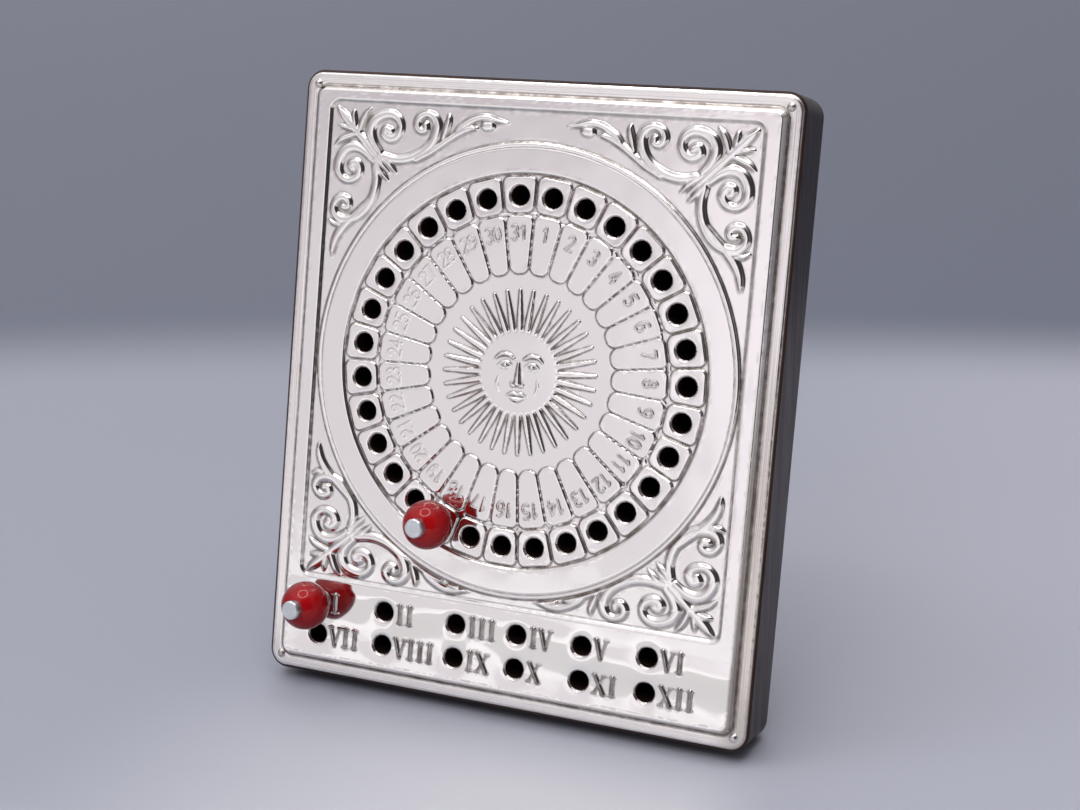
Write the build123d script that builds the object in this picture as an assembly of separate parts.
from build123d import *
import math
import os

# Perpetual desk calendar: an embossed silver sheet on a lacquered wooden board, two pegs that mark the
# day and the month, and a folding wooden easel strut behind.
#
# Row frame: millimetres, +Z up, the face looks towards -Y, +X to the right of someone who reads it.
# The origin is on the desk, in the middle of the object's box seen from above.
#
# Plate frame, in which the flat pieces are drawn before they are leaned back:
#   x to the right, y up the board from its bottom edge, z out of the board's front face (z = 0).

# ---------------------------------------------------------------- driving dimensions (mm, degrees)

lean_angle = 11.7

# embossed sheet
sheet_width = 126.0
sheet_height = 150.0
sheet_corner_radius = 4.0
sheet_thickness = 0.4
sheet_hollow_gap = 0.3
flange_width = 3.0
riser_width = 1.4
field_height = 2.1
field_corner_radius = 3.0
panel_side_inset = 7.3
panel_top_inset = 7.0
panel_depth = 0.6
panel_step_width = 1.1
panel_corner_radius = 3.0
strip_height = 24.0

# dial
dial_centre_drop = 68.6
dial_turn = 1.4
day_count = 31
hole_ring_radius = 42.0
band_inner_radius = 47.0
band_outer_radius = 54.6
band_height = 0.5
band_edge_width = 0.7
cell_inner_radius = 37.8
cell_outer_radius = 46.5
cell_gap = 0.6
cell_height = 0.4
cell_corner_cut = 1.0
tongue_inner_radius = 23.4
tongue_outer_radius = 37.3
tongue_gap = 0.5
tongue_height = 0.35
sun_disc_radius = 10.4
sun_tip_radius = 19.8
sun_ray_count = 36
sun_ray_width = 1.4
sun_height = 0.4

# month strip: holes measured from the sheet's centre line and from its bottom edge
month_columns = (-49.2, -31.0, -11.4, 4.8, 21.6, 38.2)
month_rows = (18.5, 10.1)

# board
board_overhang = 0.6
board_thickness = 18.0
board_back_rounding = 2.5
board_front_chamfer = 0.4
peg_hole_diameter = 4.8
peg_hole_depth = 12.0

# pegs
peg_clearance = 0.1
peg_end_gap = 0.3
peg_end_chamfer = 0.3
bead_diameter = 12.0
bead_stand_off = 1.2
bead_glue_gap = 0.02
peg_proud = 1.8
day_shown = 18
month_shown = 1

# corner nails
nail_inset = 2.9
nail_head_diameter = 2.2
nail_head_height = 0.6
nail_shank_side = 0.8
nail_shank_length = 8.0

# easel strut and its hinge
strut_open_angle = 22.0
strut_thickness = 5.0
strut_top_width = 30.0
strut_foot_width = 46.0
strut_top_rounding = 4.0
strut_edge_rounding = 0.6
strut_stop_gap = 0.1
hinge_drop = 51.0
hinge_length = 26.0
hinge_leaf_height = 13.0
hinge_leaf_thickness = 0.8
hinge_knuckle_diameter = 3.2
hinge_knuckle_gap = 0.2
hinge_face_gap = 0.2
hinge_pin_diameter = 1.5
hinge_pin_clearance = 0.05
hinge_pin_head_diameter = 2.2
hinge_pin_head_length = 0.5
hinge_leaf_corner_radius = 1.0
hinge_notch_gap = 0.2
strut_knuckle_gap = 0.3
screw_spacing = 17.0
screw_drop = 7.5
screw_head_diameter = 3.4
screw_shank_diameter = 1.7
board_screw_length = 8.0
strut_screw_length = 3.2
screw_fit_gap = 0.02

# how far a cutting shape reaches past the piece that it cuts
cut_margin = 2.0

# ---------------------------------------------------------------- sizes that follow

board_width = sheet_width + 2 * board_overhang
board_height = sheet_height + 2 * board_overhang
board_corner_radius = sheet_corner_radius + board_overhang
sheet_middle = board_height / 2
sheet_bottom = board_overhang
sheet_top = board_overhang + sheet_height

field_width = sheet_width - 2 * flange_width
field_length = sheet_height - 2 * flange_width
panel_floor = field_height - panel_depth
panel_width = sheet_width - 2 * panel_side_inset
panel_bottom = sheet_bottom + strip_height
panel_top = sheet_top - panel_top_inset
panel_height = panel_top - panel_bottom
panel_middle = (panel_top + panel_bottom) / 2

dial_middle = sheet_top - dial_centre_drop
day_pitch = 360 / day_count

peg_diameter = peg_hole_diameter - 2 * peg_clearance
bead_middle = panel_floor + cell_height + bead_stand_off + bead_diameter / 2
peg_inner_end = peg_end_gap - peg_hole_depth
peg_outer_end = bead_middle + bead_diameter / 2 + peg_proud

hinge_height = board_height - hinge_drop
hinge_pin_offset = hinge_knuckle_diameter / 2 + hinge_face_gap
hinge_axis_depth = -board_thickness - hinge_pin_offset
knuckle_length = (hinge_length - 2 * hinge_knuckle_gap) / 3

# the board stands on the rounding of its back bottom edge
desk_rise = (
    board_back_rounding * (1 - math.cos(math.radians(lean_angle)))
    + (board_thickness - board_back_rounding) * math.sin(math.radians(lean_angle))
)
hinge_axis_rise = (
    hinge_height * math.cos(math.radians(lean_angle))
    + hinge_axis_depth * math.sin(math.radians(lean_angle))
    + desk_rise
)
strut_backward_angle = strut_open_angle - lean_angle
strut_reach = (
    hinge_axis_rise / math.cos(math.radians(strut_backward_angle))
    + (hinge_pin_offset + strut_thickness) * math.tan(math.radians(strut_backward_angle))
    + cut_margin
)
strut_head = (
    (hinge_pin_offset + strut_thickness) * math.cos(math.radians(strut_open_angle)) + hinge_pin_offset
) / math.sin(math.radians(strut_open_angle)) + cut_margin


# ---------------------------------------------------------------- places that more than one piece shares

def on_ring(radius, angle):
    """A point of the dial, its angle clockwise from the top."""
    turn = math.radians(angle)
    return (radius * math.sin(turn), dial_middle + radius * math.cos(turn))


def day_angle(day):
    return dial_turn + (day - 0.5) * day_pitch


def day_hole(day):
    return on_ring(hole_ring_radius, day_angle(day))


def month_hole(month):
    row, column = divmod(month - 1, len(month_columns))
    return (month_columns[column], sheet_bottom + month_rows[row])


def all_holes():
    days = [day_hole(day) for day in range(1, day_count + 1)]
    months = [month_hole(month) for month in range(1, len(month_rows) * len(month_columns) + 1)]
    return days + months


def nail_places():
    across = sheet_width / 2 - nail_inset
    along = sheet_height / 2 - nail_inset
    return [(x, sheet_middle + y) for x in (-across, across) for y in (-along, along)]


def peg_holes(diameter, bottom, top):
    """Plugs for cutting every peg hole between two heights."""
    circles = Sketch() + [Pos(x, y) * Circle(diameter / 2) for x, y in all_holes()]
    return Pos(0, 0, bottom) * extrude(circles, top - bottom)


def hinge_axis():
    """The pin's middle, with x along the pin; z points out of the face."""
    return Pos(0, hinge_height, hinge_axis_depth)


def opened(part):
    """Swings a piece that is drawn folded flat, about the pin, to where the strut stands."""
    return hinge_axis() * Rot(strut_open_angle, 0, 0) * hinge_axis().inverse() * part


def leaned(part):
    """Takes a piece from the plate frame to the desk, standing on the board's back bottom edge."""
    return Pos(0, 0, desk_rise) * Rot(90 - lean_angle, 0, 0) * part


# ---------------------------------------------------------------- board and sheet

def backing_board():
    outline = RectangleRounded(board_width, board_height, board_corner_radius)
    board = Pos(0, sheet_middle, -board_thickness) * extrude(outline, board_thickness)
    board = fillet(board.faces().sort_by(Axis.Z)[0].edges(), board_back_rounding)
    board = chamfer(board.faces().sort_by(Axis.Z)[-1].edges(), board_front_chamfer)
    board += under_sheet(sheet_hollow_gap)
    board -= peg_holes(peg_hole_diameter, -peg_hole_depth, field_height)
    board -= nail_shanks(-nail_shank_length, cut_margin)
    board -= screw_group(board_screw_length, screw_fit_gap)
    return board


def embossed_field(inset, top, floor, panel_growth):
    """The raised block of the sheet, or of the board under it: sloping sides and a sunk panel on top."""
    slope = math.degrees(math.atan2(riser_width, field_height - sheet_thickness))
    outline = RectangleRounded(
        field_width - 2 * inset, field_length - 2 * inset, field_corner_radius - inset
    )
    block = Pos(0, sheet_middle, 0) * extrude(outline, top, taper=slope)
    panel = RectangleRounded(
        panel_width + 2 * panel_growth, panel_height + 2 * panel_growth, panel_corner_radius
    )
    step_slope = math.degrees(math.atan2(panel_step_width, panel_depth))
    recess = Pos(0, panel_middle, top) * extrude(panel, floor - top, taper=step_slope)
    return block - recess


def under_sheet(gap):
    """The sheet's hollow side, or the raised block on the board's front that fills it but for a gap."""
    room = sheet_thickness + gap
    return embossed_field(room, field_height - room, panel_floor - room, sheet_thickness / 2 + gap)


def band():
    """The plain raised ring round the dial, with sloping edges."""
    foot = panel_floor - sheet_thickness / 2
    crest = panel_floor + band_height
    profile = Polygon(
        (band_inner_radius, foot),
        (band_outer_radius, foot),
        (band_outer_radius, panel_floor),
        (band_outer_radius - band_edge_width, crest),
        (band_inner_radius + band_edge_width, crest),
        (band_inner_radius, panel_floor),
        align=None,
    )
    return Pos(0, dial_middle, 0) * revolve(Plane.XZ * profile, Axis.Z)


def sector_half_width(radius, gap):
    return radius * math.sin(math.radians(day_pitch / 2)) - gap / 2


def day_cell():
    """A raised square with cut corners, pointing up from the dial's centre."""
    inner = sector_half_width(cell_inner_radius, cell_gap)
    outer = sector_half_width(cell_outer_radius, cell_gap)
    cell = Polygon(
        (-inner, cell_inner_radius),
        (inner, cell_inner_radius),
        (outer, cell_outer_radius),
        (-outer, cell_outer_radius),
        align=None,
    )
    return chamfer(cell.vertices(), cell_corner_cut)


def day_tongue():
    """A raised petal with a blunt inner end, which carries the day's number."""
    inner = sector_half_width(tongue_inner_radius, tongue_gap)
    outer = sector_half_width(tongue_outer_radius, tongue_gap)
    return Polygon(
        (-inner / 2, tongue_inner_radius),
        (inner / 2, tongue_inner_radius),
        (inner, tongue_inner_radius + inner / 2),
        (outer, tongue_outer_radius),
        (-outer, tongue_outer_radius),
        (-inner, tongue_inner_radius + inner / 2),
        align=None,
    )


def sun_ray():
    """A straight bar, rooted inside the sun's disc."""
    root = sun_disc_radius - sun_ray_width / 2
    bar = Rectangle(sun_ray_width, sun_tip_radius - root, align=(Align.CENTER, Align.MIN))
    return Pos(0, root) * bar


def dial_pads(shape, count, first_angle, height):
    """One raised shape, repeated round the dial."""
    turns = [Rot(0, 0, -(first_angle + 360 / count * step)) for step in range(count)]
    shapes = Sketch() + [turn * shape for turn in turns]
    foot = panel_floor - sheet_thickness / 2
    return Pos(0, dial_middle, foot) * extrude(shapes, height + sheet_thickness / 2)


def face_sheet():
    flange = RectangleRounded(sheet_width, sheet_height, sheet_corner_radius)
    sheet = Pos(0, sheet_middle, 0) * extrude(flange, sheet_thickness)
    sheet += embossed_field(0, field_height, panel_floor, 0)
    sheet += band()
    sheet += dial_pads(day_cell(), day_count, day_angle(1), cell_height)
    sheet += dial_pads(day_tongue(), day_count, day_angle(1), tongue_height)
    sheet += dial_pads(sun_ray(), sun_ray_count, dial_turn + 180 / sun_ray_count, sun_height)
    sheet += dial_pads(Circle(sun_disc_radius), 1, 0, sun_height)
    sheet -= under_sheet(0)
    sheet -= peg_holes(peg_hole_diameter, -cut_margin, field_height + cut_margin)
    sheet -= nail_shanks(-cut_margin, cut_margin)
    return sheet


def nail_shanks(bottom, top):
    """The square shanks of the corner nails between two heights."""
    squares = Sketch() + [Pos(x, y) * Rectangle(nail_shank_side, nail_shank_side) for x, y in nail_places()]
    return Pos(0, 0, bottom) * extrude(squares, top - bottom)


def corner_nails():
    """Four nails through the flange, with domed heads and square shanks."""
    seat = sheet_thickness
    dome_radius = ((nail_head_diameter / 2) ** 2 + nail_head_height**2) / (2 * nail_head_height)
    dome = Pos(0, 0, seat + nail_head_height - dome_radius) * Sphere(dome_radius)
    dome = dome & Pos(0, 0, seat) * extrude(Circle(nail_head_diameter / 2), nail_head_height)
    heads = Part() + [Pos(x, y, 0) * dome for x, y in nail_places()]
    return (heads + nail_shanks(-nail_shank_length, seat)).solids()


# ---------------------------------------------------------------- pegs

def peg_rod(place):
    length = peg_outer_end - peg_inner_end
    rod = extrude(Circle(peg_diameter / 2), length)
    rod = chamfer(rod.edges().filter_by(GeomType.CIRCLE), peg_end_chamfer)
    return Pos(place[0], place[1], peg_inner_end) * rod


def peg_bead(place):
    bore = peg_diameter / 2 + bead_glue_gap
    ball = Sphere(bead_diameter / 2) - Cylinder(bore, bead_diameter)
    return Pos(place[0], place[1], bead_middle) * ball


# ---------------------------------------------------------------- easel strut and hinge

def hinge_knuckle(position):
    """One of three barrels along the pin: -1, 0 or 1."""
    barrel = Cylinder(hinge_knuckle_diameter / 2, knuckle_length, rotation=(0, 90, 0))
    return Pos(position * (knuckle_length + hinge_knuckle_gap), 0, 0) * barrel


def hinge_leaf(positions, bore):
    """A leaf that lies on the board, with the barrels at the given positions, drawn about the pin."""
    plate = Box(
        hinge_length,
        hinge_leaf_height,
        hinge_leaf_thickness,
        align=(Align.CENTER, Align.MAX, Align.MAX),
    )
    leaf = Pos(0, 0, hinge_pin_offset) * plate
    leaf = fillet(leaf.edges().filter_by(Axis.Z).sort_by(Axis.Y)[:2], hinge_leaf_corner_radius)
    room = knuckle_length + 2 * hinge_knuckle_gap
    for position in {-1, 0, 1} - set(positions):
        notch = Box(room, hinge_knuckle_diameter + 2 * hinge_notch_gap, 2 * hinge_knuckle_diameter)
        leaf -= Pos(position * (knuckle_length + hinge_knuckle_gap), 0, 0) * notch
    for position in positions:
        leaf += hinge_knuckle(position)
    leaf -= Cylinder(bore, 2 * hinge_length, rotation=(0, 90, 0))
    for x in (-screw_spacing / 2, screw_spacing / 2):
        leaf -= Pos(x, -screw_drop, hinge_pin_offset) * screw(cut_margin, screw_fit_gap)
    return leaf


def screw(length, growth):
    """A countersunk screw that goes up from the leaf's open face, its head flush there."""
    shank_radius = screw_shank_diameter / 2 + growth
    head_radius = screw_head_diameter / 2 + growth
    profile = Polygon(
        (0, -hinge_leaf_thickness),
        (head_radius, -hinge_leaf_thickness),
        (shank_radius, 0),
        (shank_radius, length - hinge_leaf_thickness),
        (0, length - hinge_leaf_thickness),
        align=None,
    )
    return revolve(Plane.XZ * profile, Axis.Z)


def screw_group(length, growth):
    """The two screws of the leaf on the board, in the plate frame."""
    seat = Pos(0, hinge_height - screw_drop, -board_thickness)
    pair = Part() + [Pos(x, 0, 0) * screw(length, growth) for x in (-screw_spacing / 2, screw_spacing / 2)]
    return seat * pair


def facing_strut(part):
    """Turns a shape drawn about the pin from the board's side to the folded strut's side."""
    return mirror(part, Plane.XY)


def hinge_board_leaf():
    return hinge_axis() * hinge_leaf((-1, 1), hinge_pin_diameter / 2)


def hinge_strut_leaf():
    leaf = facing_strut(hinge_leaf((0,), hinge_pin_diameter / 2 + hinge_pin_clearance))
    return opened(hinge_axis() * leaf)


def hinge_pin():
    """A rivet along the knuckles, closed by a flat head at each end."""
    pin = Cylinder(hinge_pin_diameter / 2, hinge_length, rotation=(0, 90, 0))
    for side in (-1, 1):
        head = Cylinder(hinge_pin_head_diameter / 2, hinge_pin_head_length, rotation=(0, 90, 0))
        pin += Pos(side * (hinge_length + hinge_pin_head_length) / 2, 0, 0) * head
    return hinge_axis() * pin


def hinge_board_screws():
    return screw_group(board_screw_length, 0).solids()


def strut_screw_group(length, growth):
    """The two screws of the leaf on the strut, drawn about the pin with the strut folded."""
    pair = Part() + [Pos(x, 0, 0) * screw(length, growth) for x in (-screw_spacing / 2, screw_spacing / 2)]
    return facing_strut(Pos(0, -screw_drop, hinge_pin_offset) * pair)


def hinge_strut_screws():
    return opened(hinge_axis() * strut_screw_group(strut_screw_length, 0)).solids()


def easel_strut():
    """A tapered plank; its bevelled head stops on the board and its foot is cut level with the desk."""
    half_top = strut_top_width / 2
    half_foot = strut_foot_width / 2
    outline = Polygon(
        (-half_foot, -strut_reach),
        (half_foot, -strut_reach),
        (half_top, strut_head),
        (-half_top, strut_head),
        align=None,
    )
    plank = Pos(0, 0, -hinge_pin_offset) * extrude(outline, -strut_thickness)
    plank = fillet(plank.edges().filter_by(Axis.Z).sort_by(Axis.Y)[-2:], strut_top_rounding)
    plank = fillet(plank.faces().sort_by(Axis.Z)[0].edges(), strut_edge_rounding)
    knuckle_room = hinge_knuckle_diameter / 2 + strut_knuckle_gap
    plank -= Cylinder(knuckle_room, hinge_length + cut_margin, rotation=(0, 90, 0))
    plank -= strut_screw_group(strut_screw_length, screw_fit_gap)
    plank = opened(hinge_axis() * plank)
    far = 4 * board_height
    board_side = Pos(0, 0, far / 2 - board_thickness - strut_stop_gap) * Box(far, far, far)
    plank -= board_side
    desk = Pos(0, 0, -far / 2) * Box(far, far, far)
    return leaned(plank) - desk


# ---------------------------------------------------------------- assembly

def solids_of(part):
    return list(part) if isinstance(part, (list, ShapeList)) else [part]


def assembly():
    """Every node's solids, standing on the desk."""
    day_place = day_hole(day_shown)
    month_place = month_hole(month_shown)
    plate_parts = {
        "backing_board": backing_board(),
        "face_sheet": face_sheet(),
        "corner_nails": corner_nails(),
        "day_peg_rod": peg_rod(day_place),
        "day_peg_bead": peg_bead(day_place),
        "month_peg_rod": peg_rod(month_place),
        "month_peg_bead": peg_bead(month_place),
        "hinge_board_leaf": hinge_board_leaf(),
        "hinge_strut_leaf": hinge_strut_leaf(),
        "hinge_pin": hinge_pin(),
        "hinge_board_screws": hinge_board_screws(),
        "hinge_strut_screws": hinge_strut_screws(),
    }
    nodes = {name: [leaned(solid) for solid in solids_of(part)] for name, part in plate_parts.items()}
    nodes["easel_strut"] = [easel_strut()]
    return nodes


def centred(nodes):
    """Moves all pieces along Y so that the origin is in the middle of the object's footprint."""
    boxes = [solid.bounding_box(optimal=True) for solids in nodes.values() for solid in solids]
    front = min(box.min.Y for box in boxes)
    back = max(box.max.Y for box in boxes)
    shift = Pos(0, -(front + back) / 2, 0)
    return {name: [shift * solid for solid in solids] for name, solids in nodes.items()}, shift


def main():
    os.makedirs("parts", exist_ok=True)
    nodes, shift = centred(assembly())
    for name, solids in nodes.items():
        shape = solids[0] if len(solids) == 1 else Compound(children=solids)
        export_step(shape, f"parts/{name}.step")
        print(name, len(solids), "solid(s)")
    pin_place = (shift * leaned(hinge_axis() * Vertex(0, 0, 0))).center()
    print("hinge pin middle", pin_place)


main()
